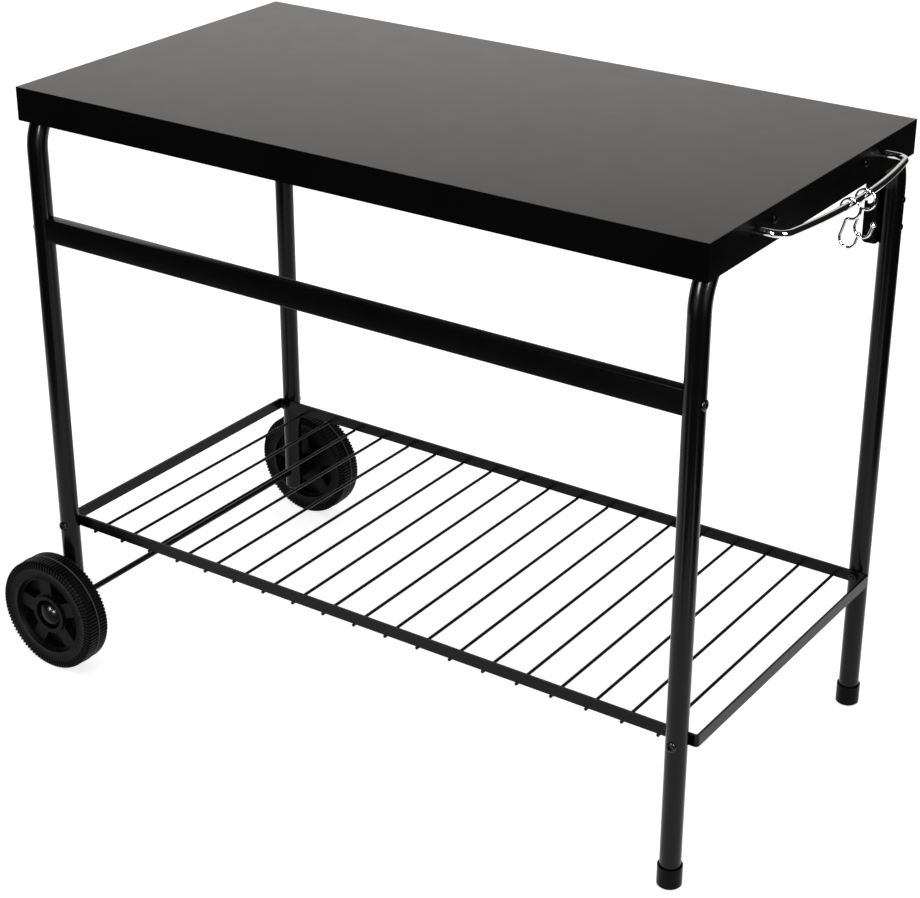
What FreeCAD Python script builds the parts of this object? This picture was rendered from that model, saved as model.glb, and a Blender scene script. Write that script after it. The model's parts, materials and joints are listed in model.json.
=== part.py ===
import FreeCAD, Part
import math
import os

import Sketcher

# A rolling plancha table: a folded sheet-metal top on two bent-tube end frames, a square rail under the near
# long side, a wire shelf, two moulded wheels on an axle at the left end, two foot caps at the right end, and a
# chrome handle with two S-hooks. +X points to the handle end, -Y to the rail side, +Z up. The origin is on the
# floor under the middle of the top. Millimetres.

# Driving sizes: name, value, meaning
SIZES = (
    ("top_length", 930, "outside length of the top pan, along X"),
    ("top_width", 490, "outside width of the top pan, along Y"),
    ("table_height", 774, "floor to the top surface"),
    ("skirt_depth", 41, "height of the pan's folded skirts"),
    ("sheet_thick", 1.5, "thickness of the pan's sheet with its enamel"),
    ("pan_edge_radius", 1.5, "outside radius of the pan's folds and corners"),
    ("tube_diameter", 25, "outside diameter of the end frames' tube"),
    ("tube_wall", 1.5, "wall of the end frames' tube"),
    ("tube_bend", 65, "centre-line radius of the end frames' bends"),
    ("leg_spread", 463, "distance between the two leg axes of a frame, along Y"),
    ("left_leg_end", 52, "height of the left legs' lower ends above the floor"),
    ("seat_gap", 0.2, "gap between fixed pieces that lie against each other"),
    ("hole_play", 0.2, "radial play of a screw or the axle in a drilled hole"),
    ("running_play", 0.08, "radial play of a wheel on its axle"),
    ("end_play", 0.4, "play of a wheel along its axle, at each end of the hub"),
    ("rail_side", 25, "outside width and height of the rail's square tube"),
    ("rail_wall", 1.5, "wall of the rail's square tube"),
    ("rail_corner", 3, "outside corner radius of the rail's square tube"),
    ("rail_drop", 177.5, "depth of the rail's axis below the top surface"),
    ("insert_length", 20, "length of the threaded insert in each end of the rail"),
    ("strip_height", 15, "height of the shelf's edge strip"),
    ("strip_thick", 3, "thickness of the shelf's edge strip"),
    ("strip_bend", 4.5, "outside radius of the edge strip's corners"),
    ("shelf_top", 197, "height of the edge strip's upper edge above the floor"),
    ("shelf_left", 10.2, "reach of the edge strip past the left legs' axes"),
    ("shelf_right", 19.2, "reach of the edge strip past the right legs' axes"),
    ("wire_diameter", 4, "diameter of the shelf wires"),
    ("wire_count", 19, "number of shelf wires"),
    ("wire_pitch", 46.7, "distance between neighbouring shelf wires"),
    ("axle_diameter", 8, "diameter of the axle rod"),
    ("wheel_diameter", 154, "outside diameter of a wheel over the ridge round its tread"),
    ("wheel_width", 35, "width of a wheel's rim"),
    ("wheel_offset", 9, "distance from a leg's outer side to the wheel's rim"),
    ("wheel_turn", 29.5, "angle by which the wheels are turned on the axle, in degrees"),
    ("ridge_height", 0.6, "height of the ridge round the middle of the tread"),
    ("ridge_width", 1.6, "width of that ridge"),
    ("crown_round", 3, "radius of the rounded edges of the tread"),
    ("tread_count", 97, "number of tread slots, odd so that a block meets the floor"),
    ("tread_slot", 2.3, "width of a tread slot"),
    ("tread_depth", 1.8, "depth of a tread slot"),
    ("tread_root", 132, "diameter down to which the slots run on a wheel's faces"),
    ("dish_depth", 1, "depth of the dished ring inside the slots, on a wheel's faces"),
    ("rim_opening", 103, "diameter of the recess inside a wheel's rim"),
    ("rim_draft", 1.5, "widening of that recess towards the wheel's faces"),
    ("face_recess", 6, "depth of the spoke faces below the rim's faces"),
    ("web_thick", 4, "thickness of the web at the bottom of the pockets"),
    ("pocket_count", 5, "number of pockets between the spokes"),
    ("spoke_width", 20, "width of a spoke"),
    ("pocket_margin", 2.5, "material left between a pocket and the hub or the rim"),
    ("hub_diameter", 52, "diameter of the hub ring on the wheel's outer side"),
    ("hub_recess", 3, "depth of the hub ring below the rim's outer face"),
    ("cup_diameter", 41, "diameter of the cup in the hub that holds the cap"),
    ("cup_depth", 10, "depth of that cup"),
    ("boss_diameter", 30, "diameter of the hub boss on the wheel's inner side"),
    ("washer_diameter", 18, "outside diameter of the axle washers"),
    ("washer_thick", 1.5, "thickness of the axle washers"),
    ("cap_diameter", 39, "diameter of the domed caps on the axle's ends"),
    ("cap_height", 9.5, "height of the domed caps"),
    ("cap_dome", 4, "height of the dome of the caps"),
    ("cap_bore_depth", 6, "how far the axle reaches into a cap"),
    ("cap_play", 0.05, "radial play of the axle's ends in the caps"),
    ("foot_height", 27, "height of the right legs' foot caps"),
    ("foot_wall", 2, "wall of the foot caps"),
    ("foot_floor", 3, "floor thickness of the foot caps"),
    ("foot_bevel", 2, "bevel round the bottom of the foot caps"),
    ("plug_head", 3, "thickness of the plug heads that close the left legs"),
    ("plug_depth", 12, "how far a plug reaches into its leg"),
    ("plug_bevel", 1.5, "bevel round a plug's head"),
    ("handle_rod", 8, "diameter of the handle's rod"),
    ("handle_span", 298, "distance between the handle's two ends"),
    ("handle_reach", 46.6, "reach of the grip's axis from the skirt, at the middle"),
    ("handle_bow", 750, "radius of the grip's outward bow"),
    ("handle_corner", 15, "centre-line radius of the handle's two corners"),
    ("handle_thread", 12, "how far a screw reaches into the handle's end"),
    ("hook_wire", 3.2, "wire diameter of an S-hook"),
    ("hook_eye_radius", 11, "centre-line radius of an S-hook's eye"),
    ("hook_neck_radius", 3.5, "centre-line radius of the bend between the eye and the stem"),
    ("hook_crook_radius", 9.3, "centre-line radius of an S-hook's crook"),
    ("hook_wrap", 5, "angle by which the eye runs on past its lowest point, in degrees"),
    ("hook_slant", 17, "angle of the stem and of the lip from upright, in degrees"),
    ("hook_height", 56.5, "overall height of an S-hook"),
    ("hook_tail", 4, "straight tail of the eye"),
    ("hook_lip", 10, "straight lip of the crook, below its ball"),
    ("hook_ball", 6, "diameter of the ball on an S-hook's lip"),
    ("hook_play", 0.3, "gap between an S-hook and the grip it hangs on"),
    ("front_hook", -25, "place of the first S-hook along the grip"),
    ("rear_hook", 11, "place of the second S-hook along the grip"),
    ("opener_thick", 3, "thickness of the bottle opener's folded plate"),
    ("opener_drop", 110, "depth of the opener's middle below the top surface"),
    ("opener_height", 78, "height of the bottle opener"),
    ("opener_width", 25, "width of the flange that lies against the leg"),
    ("opener_wing", 30, "reach of the folded wing from the leg's axis"),
    ("opener_bend", 4.5, "outside radius of the opener's fold"),
    ("opener_corner", 5, "radius of the wing's free corners"),
    ("opener_screws", 33, "distance between the opener's two screws"),
    ("mouth_rise", 8, "height of the mouth's lower edge above the opener's middle"),
    ("mouth_height", 15, "height of the mouth in the wing's free edge"),
    ("mouth_depth", 11, "depth of the mouth from the wing's free edge"),
    ("tooth_side", 3, "width and height of the tooth at the mouth's lower edge"),
    ("pan_screws", 218, "distance between the two screws in each end skirt"),
    ("screw_large", 6, "diameter of the rail and shelf screws"),
    ("head_large", 13, "head diameter of the rail and shelf screws"),
    ("head_large_height", 4.2, "head height of the rail and shelf screws"),
    ("nut_large", 10, "width across the flats of the shelf nuts"),
    ("nut_large_height", 5, "height of the shelf nuts"),
    ("screw_pan", 5, "diameter of the pan screws"),
    ("head_pan", 10.5, "head diameter of the pan screws"),
    ("head_pan_height", 3.6, "head height of the pan screws"),
    ("screw_small", 4, "diameter of the handle and opener screws"),
    ("head_small", 8.5, "head diameter of the handle and opener screws"),
    ("head_small_height", 2.4, "head height of the handle and opener screws"),
    ("nut_small", 7, "width across the flats of the opener nuts"),
    ("nut_small_height", 3.2, "height of the opener nuts"),
    ("screw_overrun", 2, "how far a screw's end stands past its nut"),
    ("pan_screw_length", 12, "length of a pan screw under its head"),
    ("rail_screw_grip", 16, "how far a rail screw reaches into its insert"),
)

# Places and lengths that follow from the driving sizes
PLACES = (
    ("tube_radius", "Sizes.tube_diameter / 2"),
    ("skirt_x", "Sizes.top_length / 2"),
    ("frame_x", "Sizes.top_length / 2 - Sizes.sheet_thick - Sizes.seat_gap - Sizes.tube_diameter / 2"),
    ("frame_top", "Sizes.table_height - Sizes.sheet_thick - Sizes.seat_gap - Sizes.tube_diameter / 2"),
    ("leg_y", "Sizes.leg_spread / 2"),
    ("leg_outside", "Sizes.leg_spread / 2 + Sizes.tube_diameter / 2"),
    ("shelf_y", "Sizes.leg_spread / 2 - Sizes.tube_diameter / 2 - Sizes.seat_gap"),
    ("strip_z", "Sizes.shelf_top - Sizes.strip_height / 2"),
    ("strip_left", "-Places.frame_x - Sizes.shelf_left"),
    ("strip_right", "Places.frame_x + Sizes.shelf_right"),
    ("rail_z", "Sizes.table_height - Sizes.rail_drop"),
    ("axle_z", "Sizes.wheel_diameter / 2"),
    ("large_hole", "Sizes.screw_large / 2 + Sizes.hole_play"),
    ("pan_hole", "Sizes.screw_pan / 2 + Sizes.hole_play"),
    ("small_hole", "Sizes.screw_small / 2 + Sizes.hole_play"),
    ("axle_hole", "Sizes.axle_diameter / 2 + Sizes.hole_play"),
    ("wheel_bore", "Sizes.axle_diameter / 2 + Sizes.running_play"),
    ("boss_reach", "Sizes.wheel_offset - Sizes.washer_thick - Sizes.seat_gap - Sizes.end_play"),
    ("cup_floor", "Sizes.wheel_width - Sizes.hub_recess - Sizes.cup_depth"),
    ("axle_reach", "Places.leg_outside + Sizes.wheel_offset + Places.cup_floor + Sizes.end_play"
                   " + Sizes.cap_bore_depth"),
    ("handle_stub", "Sizes.handle_reach - Sizes.handle_bow + ((Sizes.handle_bow - Sizes.handle_corner)^2"
                    " - (Sizes.handle_span / 2 - Sizes.handle_corner)^2)^0.5"),
    ("bow_share", "Sizes.handle_bow / (Sizes.handle_bow - Sizes.handle_corner)"),
    ("bow_x", "Sizes.handle_reach - Sizes.handle_bow"),
    ("bow_end_x", "Places.bow_x + Places.bow_share * (Places.handle_stub - Places.bow_x)"),
    ("bow_end_y", "Places.bow_share * (Sizes.handle_span / 2 - Sizes.handle_corner)"),
    ("eye_z", "Sizes.handle_rod / 2 + Sizes.hook_play + Sizes.hook_wire / 2 - Sizes.hook_eye_radius"),
    ("crook_z", "Places.eye_z + Sizes.hook_eye_radius + Sizes.hook_wire + Sizes.hook_crook_radius"
                " - Sizes.hook_height"),
    ("wrap_sin", "sin(Sizes.hook_wrap * 1 deg)"),
    ("wrap_cos", "cos(Sizes.hook_wrap * 1 deg)"),
    ("slant_sin", "sin(Sizes.hook_slant * 1 deg)"),
    ("slant_cos", "cos(Sizes.hook_slant * 1 deg)"),
    ("neck_x", "-(Sizes.hook_eye_radius + Sizes.hook_neck_radius) * Places.wrap_sin"
               " - Sizes.hook_neck_radius * Places.slant_cos"),
    ("neck_z", "Places.eye_z - (Sizes.hook_eye_radius + Sizes.hook_neck_radius) * Places.wrap_cos"
               " + Sizes.hook_neck_radius * Places.slant_sin"),
    ("stem_z", "Places.crook_z + Sizes.hook_crook_radius * Places.slant_sin"),
    ("stem_x", "Places.neck_x - (Places.neck_z - Places.stem_z) * Places.slant_sin / Places.slant_cos"),
    ("crook_x", "Places.stem_x + Sizes.hook_crook_radius * Places.slant_cos"),
    ("lip_x", "Places.crook_x + Sizes.hook_crook_radius * Places.slant_cos"),
    ("lip_z", "Places.crook_z - Sizes.hook_crook_radius * Places.slant_sin"),
    ("ball_x", "Places.lip_x + Sizes.hook_lip * Places.slant_sin"),
    ("ball_z", "Places.lip_z + Sizes.hook_lip * Places.slant_cos"),
    ("opener_x", "Places.frame_x - Places.tube_radius - Sizes.seat_gap - Sizes.opener_thick"),
    ("opener_z", "Sizes.table_height - Sizes.opener_drop"),
)

ORIGIN = FreeCAD.Vector(0, 0, 0)
UP = FreeCAD.Vector(0, 0, 1)
ALONG_X = FreeCAD.Vector(1, 0, 0)
ALONG_Y = FreeCAD.Vector(0, 1, 0)

doc = FreeCAD.newDocument("plancha_table")
nodes = []


def make_sheet(name, rows):
    """A sheet whose column B holds the values under their names."""
    sheet = doc.addObject("Spreadsheet::Sheet", name)
    for row, (alias, text, meaning) in enumerate(rows, start=1):
        sheet.set(f"A{row}", meaning)
        sheet.set(f"B{row}", text)
        sheet.setAlias(f"B{row}", alias)
    return sheet


sizes = make_sheet("Sizes", [(alias, str(value), meaning) for alias, value, meaning in SIZES])
doc.recompute()
make_sheet("Places", [(alias, "=" + formula, alias) for alias, formula in PLACES])
doc.recompute()


def num(expression):
    """The present value of an expression on the sheets."""
    return float(sizes.evalExpression(expression))


def node(thing, label):
    """Mark an object as a sub-part to be written under its label."""
    thing.Label = label
    nodes.append(thing)
    return thing


def new_body(name):
    return doc.addObject("PartDesign::Body", name)


def place(thing, x="0", y="0", z="0", axis=None, degrees=0):
    """Turn a thing by a fixed angle and tie its place to the sheets."""
    rotation = FreeCAD.Rotation(axis, degrees) if axis else FreeCAD.Rotation()
    thing.Placement = FreeCAD.Placement(ORIGIN, rotation)
    for letter, expression in zip("xyz", (x, y, z)):
        thing.setExpression(f"Placement.Base.{letter}", expression)


def origin_part(owner, role):
    return next(part for part in owner.Origin.OriginFeatures if part.Role == role)


def sketch_on(owner, role, offset=None):
    """A sketch on one of the body's own planes, moved along that plane's normal."""
    sketch = owner.newObject("Sketcher::SketchObject", owner.Name + "_sketch")
    sketch.AttachmentSupport = [(origin_part(owner, role), "")]
    sketch.MapMode = "FlatFace"
    if offset:
        sketch.setExpression("AttachmentOffset.Base.z", offset)
    return sketch


def bind(sketch, expression, kind, *where):
    """Add a dimension to a sketch and tie it to the sheets."""
    index = sketch.addConstraint(Sketcher.Constraint(kind, *where, num(expression)))
    sketch.setExpression(f"Constraints[{index}]", expression)


def pin_point(sketch, index, point, x, y):
    bind(sketch, x, "DistanceX", -1, 1, index, point)
    bind(sketch, y, "DistanceY", -1, 1, index, point)


def circle(sketch, x, y, radius):
    index = sketch.addGeometry(Part.Circle(FreeCAD.Vector(num(x), num(y), 0), UP, num(radius)))
    bind(sketch, radius, "Radius", index)
    pin_point(sketch, index, 3, x, y)


def arc_between(start, end, radius, turn):
    """The shorter arc from start to end, turning left where turn is 1 and right where it is -1."""
    chord = end - start
    rise = math.sqrt(max(radius ** 2 - chord.Length ** 2 / 4, 0))
    centre = (start + end) / 2 + UP.cross(chord).normalize() * rise * turn
    first, last = (start, end) if turn > 0 else (end, start)
    angles = [math.atan2(spot.y - centre.y, spot.x - centre.x) for spot in (first, last)]
    if angles[1] < angles[0]:
        angles[1] += 2 * math.pi
    return Part.ArcOfCircle(Part.Circle(centre, UP, radius), *angles)


def chain(sketch, points, closed=True):
    """Lines and arcs through points. A point (x, y, radius, turn) starts an arc, and (x, y) a line."""
    spots = [FreeCAD.Vector(num(point[0]), num(point[1]), 0) for point in points]
    count = len(points) if closed else len(points) - 1
    ends = []
    for i in range(count):
        start, end = spots[i], spots[(i + 1) % len(points)]
        if len(points[i]) == 2:
            index = sketch.addGeometry(Part.LineSegment(start, end))
            ends.append((index, 1, 2))
        else:
            radius, turn = points[i][2:]
            index = sketch.addGeometry(arc_between(start, end, num(radius), turn))
            bind(sketch, radius, "Radius", index)
            ends.append((index, 1, 2) if turn > 0 else (index, 2, 1))
    for i in range(count):
        index, first, last = ends[i]
        pin_point(sketch, index, first, *points[i][:2])
        if closed or i < count - 1:
            after = ends[(i + 1) % count]
            sketch.addConstraint(Sketcher.Constraint("Coincident", index, last, after[0], after[1]))
    if not closed:
        pin_point(sketch, ends[-1][0], ends[-1][2], *points[-1][:2])


def rectangle(sketch, x0, y0, x1, y1):
    chain(sketch, ((x0, y0), (x1, y0), (x1, y1), (x0, y1)))


def grow(owner, sketch, length, both_ways=False, reverse=False):
    """Pad a sketch."""
    pad = owner.newObject("PartDesign::Pad", owner.Name + "_pad")
    pad.Profile = sketch
    pad.SideType = "Symmetric" if both_ways else "One side"
    pad.Reversed = reverse
    pad.setExpression("Length", length)
    doc.recompute()
    return pad


def cut(owner, sketch, length, both_ways=False, reverse=False):
    """Pocket a sketch, and make sure that it takes material away."""
    before = owner.Shape.Volume
    pocket = owner.newObject("PartDesign::Pocket", owner.Name + "_pocket")
    pocket.Profile = sketch
    pocket.SideType = "Symmetric" if both_ways else "One side"
    pocket.Reversed = reverse
    pocket.setExpression("Length", length)
    doc.recompute()
    if not owner.Shape.Volume < before:
        raise RuntimeError(f"{pocket.Name} cuts nothing")
    return pocket


def turn_round(owner, sketch, axis="V_Axis"):
    """Revolve a sketch by a full turn about one of its own axes."""
    revolution = owner.newObject("PartDesign::Revolution", owner.Name + "_revolution")
    revolution.Profile = sketch
    revolution.ReferenceAxis = (sketch, [axis])
    revolution.Angle = 360
    doc.recompute()
    return revolution


def repeat(owner, feature, axis_role, count):
    """Repeat a feature evenly about one of the body's axes."""
    pattern = owner.newObject("PartDesign::PolarPattern", owner.Name + "_pattern")
    pattern.Originals = [feature]
    pattern.Axis = (origin_part(owner, axis_role), [""])
    pattern.Angle = 360
    pattern.setExpression("Occurrences", count)
    owner.Tip = pattern
    doc.recompute()
    return pattern


def sweep(owner, profile, path):
    pipe = owner.newObject("PartDesign::AdditivePipe", owner.Name + "_pipe")
    pipe.Profile = profile
    pipe.Spine = (path, [f"Edge{i + 1}" for i in range(path.GeometryCount)])
    doc.recompute()
    return pipe


def round_edges(owner, radius, wanted):
    """Fillet the edges of the body's last feature that a test picks out."""
    tip = owner.Tip
    names = [f"Edge{i + 1}" for i, edge in enumerate(tip.Shape.Edges) if wanted(edge)]
    fillet = owner.newObject("PartDesign::Fillet", owner.Name + "_fillet")
    fillet.Base = (tip, names)
    fillet.setExpression("Radius", radius)
    doc.recompute()
    return fillet


def runs_along(edge, direction):
    """Whether an edge is a straight one along a direction."""
    if not isinstance(edge.Curve, Part.Line):
        return False
    return abs(edge.Curve.Direction.dot(direction)) > 0.999


def mirrored(source, name, normal):
    """A mirror image of a thing in the plane through the origin."""
    image = doc.addObject("Part::Mirroring", name)
    image.Source = source
    image.Normal = normal
    image.Base = ORIGIN
    return image


def group(members, label):
    """Separate solids that share one node."""
    compound = doc.addObject("Part::Compound", label)
    compound.Links = members
    return node(compound, label)


def pair(source, label, normal):
    return group([source, mirrored(source, label + "_image", normal)], label)


def four(source, label):
    """A thing and its images in the planes across X, across Y and across both."""
    across_x = mirrored(source, label + "_across_x", ALONG_X)
    across_y = mirrored(source, label + "_across_y", ALONG_Y)
    across_both = mirrored(across_x, label + "_across_both", ALONG_Y)
    return group([source, across_x, across_y, across_both], label)


def make_top_pan():
    """The folded top: a flat plate with skirts on four sides, open below."""
    pan = node(new_body("top_pan"), "top_pan")
    skirt_low = "Sizes.table_height - Sizes.skirt_depth"
    outside = sketch_on(pan, "XY_Plane", skirt_low)
    rectangle(outside, "-Sizes.top_length / 2", "-Sizes.top_width / 2",
              "Sizes.top_length / 2", "Sizes.top_width / 2")
    grow(pan, outside, "Sizes.skirt_depth")
    low = num(skirt_low)
    round_edges(pan, "Sizes.pan_edge_radius", lambda edge: edge.BoundBox.ZMax > low + 1)
    inside = sketch_on(pan, "XY_Plane", skirt_low)
    rectangle(inside, "-Sizes.top_length / 2 + Sizes.sheet_thick", "-Sizes.top_width / 2 + Sizes.sheet_thick",
              "Sizes.top_length / 2 - Sizes.sheet_thick", "Sizes.top_width / 2 - Sizes.sheet_thick")
    cut(pan, inside, "Sizes.skirt_depth - Sizes.sheet_thick", reverse=True)
    screw_holes = sketch_on(pan, "YZ_Plane")
    for side in ("-", ""):
        circle(screw_holes, f"{side}Sizes.pan_screws / 2", "Places.frame_top", "Places.pan_hole")
    cut(pan, screw_holes, "Sizes.top_length + 1", both_ways=True)
    handle_holes = sketch_on(pan, "YZ_Plane")
    for side in ("-", ""):
        circle(handle_holes, f"{side}Sizes.handle_span / 2", "Places.frame_top", "Places.small_hole")
    cut(pan, handle_holes, "Sizes.top_length", reverse=True)


def bent_frame(label, leg_end, x):
    """One end frame: a tube bent into an upside-down U, drilled for the shelf's, rail's and pan's screws."""
    frame = node(new_body(label), label)
    path = sketch_on(frame, "YZ_Plane")
    bend_low = "Places.frame_top - Sizes.tube_bend"
    bend_in = "Places.leg_y - Sizes.tube_bend"
    chain(path, (
        ("-Places.leg_y", leg_end),
        ("-Places.leg_y", bend_low, "Sizes.tube_bend", -1),
        (f"-({bend_in})", "Places.frame_top"),
        (bend_in, "Places.frame_top", "Sizes.tube_bend", -1),
        ("Places.leg_y", bend_low),
        ("Places.leg_y", leg_end),
    ), closed=False)
    ring = sketch_on(frame, "XY_Plane", leg_end)
    circle(ring, "0", "-Places.leg_y", "Places.tube_radius")
    circle(ring, "0", "-Places.leg_y", "Places.tube_radius - Sizes.tube_wall")
    sweep(frame, ring, path)
    shelf_hole = sketch_on(frame, "XZ_Plane")
    circle(shelf_hole, "0", "Places.strip_z", "Places.large_hole")
    cut(frame, shelf_hole, "Sizes.leg_spread * 2", both_ways=True)
    rail_hole = sketch_on(frame, "YZ_Plane")
    circle(rail_hole, "-Places.leg_y", "Places.rail_z", "Places.large_hole")
    cut(frame, rail_hole, "Sizes.tube_diameter * 2", both_ways=True)
    pan_holes = sketch_on(frame, "YZ_Plane")
    for side in ("-", ""):
        circle(pan_holes, f"{side}Sizes.pan_screws / 2", "Places.frame_top", "Places.pan_hole")
    cut(frame, pan_holes, "Sizes.tube_diameter", reverse=x[0] != "-")
    place(frame, x)
    return frame


def make_end_frames():
    """The right frame also carries the handle and the opener, and the left one the axle."""
    right = bent_frame("right_end_frame", "Sizes.foot_floor + Sizes.seat_gap", "Places.frame_x")
    holes = sketch_on(right, "YZ_Plane")
    for side in ("-", ""):
        circle(holes, f"{side}Sizes.handle_span / 2", "Places.frame_top", "Places.small_hole")
        circle(holes, "Places.leg_y", f"Places.opener_z {side or '+'} Sizes.opener_screws / 2",
               "Places.small_hole")
    cut(right, holes, "Sizes.tube_diameter * 2", both_ways=True)
    left = bent_frame("left_end_frame", "Sizes.left_leg_end + Sizes.plug_head", "-Places.frame_x")
    axle_hole = sketch_on(left, "XZ_Plane")
    circle(axle_hole, "0", "Places.axle_z", "Places.axle_hole")
    cut(left, axle_hole, "Sizes.leg_spread * 2", both_ways=True)


def make_front_rail():
    """The square tube between the two near legs, with a threaded insert in each end."""
    rail = node(new_body("front_rail"), "front_rail")
    half_length = "(Places.frame_x - Places.tube_radius - Sizes.seat_gap)"
    bore_side = "(Sizes.rail_side - 2 * Sizes.rail_wall)"
    section = sketch_on(rail, "YZ_Plane")
    half_side = "Sizes.rail_side / 2"
    rectangle(section, f"-{half_side}", f"-{half_side}", half_side, half_side)
    grow(rail, section, f"2 * {half_length}", both_ways=True)
    round_edges(rail, "Sizes.rail_corner", lambda edge: runs_along(edge, ALONG_X))
    bore = sketch_on(rail, "YZ_Plane")
    rectangle(bore, f"-{bore_side} / 2", f"-{bore_side} / 2", f"{bore_side} / 2", f"{bore_side} / 2")
    cut(rail, bore, f"2 * {half_length} + 1", both_ways=True)
    place(rail, "0", "-Places.leg_y", "Places.rail_z")

    insert = node(new_body("rail_insert_right"), "rail_insert_right")
    insert_side = f"({bore_side} - 2 * Sizes.seat_gap)"
    plug = sketch_on(insert, "YZ_Plane")
    rectangle(plug, f"-{insert_side} / 2", f"-{insert_side} / 2", f"{insert_side} / 2", f"{insert_side} / 2")
    circle(plug, "0", "0", "Places.large_hole")
    grow(insert, plug, "Sizes.insert_length", reverse=True)
    place(insert, half_length, "-Places.leg_y", "Places.rail_z")
    node(mirrored(insert, "rail_insert_left", ALONG_X), "rail_insert_left")


def make_shelf():
    """A flat strip on edge, bent into a frame, with wires welded under it from front to back."""
    frame = node(new_body("shelf_frame"), "shelf_frame")
    strip_low = "Sizes.shelf_top - Sizes.strip_height"
    outside = sketch_on(frame, "XY_Plane", strip_low)
    rectangle(outside, "Places.strip_left", "-Places.shelf_y", "Places.strip_right", "Places.shelf_y")
    grow(frame, outside, "Sizes.strip_height")
    round_edges(frame, "Sizes.strip_bend", lambda edge: runs_along(edge, UP))
    inside = sketch_on(frame, "XY_Plane", strip_low)
    rectangle(inside, "Places.strip_left + Sizes.strip_thick", "-Places.shelf_y + Sizes.strip_thick",
              "Places.strip_right - Sizes.strip_thick", "Places.shelf_y - Sizes.strip_thick")
    cut(frame, inside, "Sizes.strip_height", reverse=True)
    left = num("Places.strip_left + Sizes.strip_thick / 2")
    right = num("Places.strip_right - Sizes.strip_thick / 2")
    back = num("Places.shelf_y - Sizes.strip_thick / 2")

    def inner_corner(edge):
        middle = edge.BoundBox.Center
        return runs_along(edge, UP) and left < middle.x < right and abs(middle.y) < back

    round_edges(frame, "Sizes.strip_bend - Sizes.strip_thick", inner_corner)
    holes = sketch_on(frame, "XZ_Plane")
    for side in ("-", ""):
        circle(holes, f"{side}Places.frame_x", "Places.strip_z", "Places.large_hole")
    cut(frame, holes, "Sizes.leg_spread * 2", both_ways=True)

    for i in range(round(num("Sizes.wire_count"))):
        wire_x = f"(({i} - (Sizes.wire_count - 1) / 2) * Sizes.wire_pitch)"
        # The row ends where the strip does, because a wire past its ends has nothing to be welded to
        if not left < num(wire_x) < right:
            continue
        label = f"shelf_wire_{i + 1:02d}"
        wire = node(doc.addObject("Part::Cylinder", label), label)
        wire.setExpression("Radius", "Sizes.wire_diameter / 2")
        wire.setExpression("Height", "2 * Places.shelf_y")
        place(wire, wire_x, "-Places.shelf_y",
              f"{strip_low} - Sizes.seat_gap - Sizes.wire_diameter / 2", ALONG_X, -90)


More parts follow.
